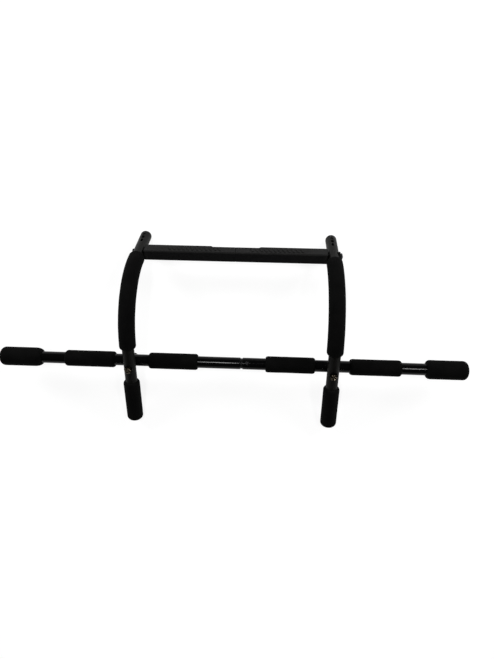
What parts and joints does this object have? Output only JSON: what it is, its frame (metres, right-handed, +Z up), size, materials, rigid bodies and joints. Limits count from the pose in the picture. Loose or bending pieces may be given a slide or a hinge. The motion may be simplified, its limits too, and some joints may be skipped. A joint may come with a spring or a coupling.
{
  "type": "over-the-door pull-up bar",
  "caption": "Over-the-door pull-up bar: a foam-padded long bar bolted across bent arms with foam handles, and a swivelling trim bar that hooks over door trim.",
  "frame": {"origin": "on the floor under the middle of the bounding box, with the part lying on its handle ends and its arm ends", "axes": "+X along the long bar, +Y from the handles towards the trim bar, +Z up from the floor"},
  "size_m": [1.01, 0.4376, 0.1543],
  "materials": {
    "black_foam": "matte",
    "gloss_black_steel": "gloss",
    "charcoal_coated_steel": "matte",
    "charcoal_plastic": "matte",
    "black_plastic": "satin",
    "moulded_black_plastic": "satin",
    "black_rubber": "matte",
    "zinc_steel": "satin",
    "black_steel": "satin",
    "bare_steel": "satin"
  },
  "bodies": {
    "frame": {"arm_nuts": "zinc_steel", "axle_nut": "black_steel", "axle_saddle_washer": "black_plastic", "bar_coupling": "black_steel", "bolt_head_washers": "black_plastic", "bolt_nut_washers": "black_plastic", "coupling_screw": "black_steel", "left_arm_bolt": "zinc_steel", "left_arm_cap": "charcoal_plastic", "left_arm_tube": "charcoal_coated_steel", "left_bar_plug": "black_plastic", "left_bar_tube": "gloss_black_steel", "left_bend_foam": "black_foam", "left_end_pad": "black_foam", "left_handle_grip": "black_foam", "left_handle_plug": "black_plastic", "left_inner_grip": "black_foam", "left_outer_grip": "black_foam", "left_saddle": "black_plastic", "right_arm_bolt": "zinc_steel", "right_arm_cap": "charcoal_plastic", "right_arm_tube": "charcoal_coated_steel", "right_bar_plug": "black_plastic", "right_bar_tube": "gloss_black_steel", "right_bend_foam": "black_foam", "right_end_pad": "black_foam", "right_handle_grip": "black_foam", "right_handle_plug": "black_plastic", "right_inner_grip": "black_foam", "right_outer_grip": "black_foam", "right_saddle": "black_plastic", "trim_axle": "zinc_steel"},
    "trim_bar": {"trim_core": "bare_steel", "left_trim_cover": "moulded_black_plastic", "right_trim_cover": "moulded_black_plastic", "trim_pad": "black_rubber", "left_trim_bush": "black_plastic", "right_trim_bush": "black_plastic"}
  },
  "joints": [
    {"name": "trim_bar_swivel", "type": "hinge", "parent": "frame", "child": "trim_bar", "pos_m": [0, 0.15575, 0.06434], "axis": [1, 0, 0], "continuous": true}
  ]
}
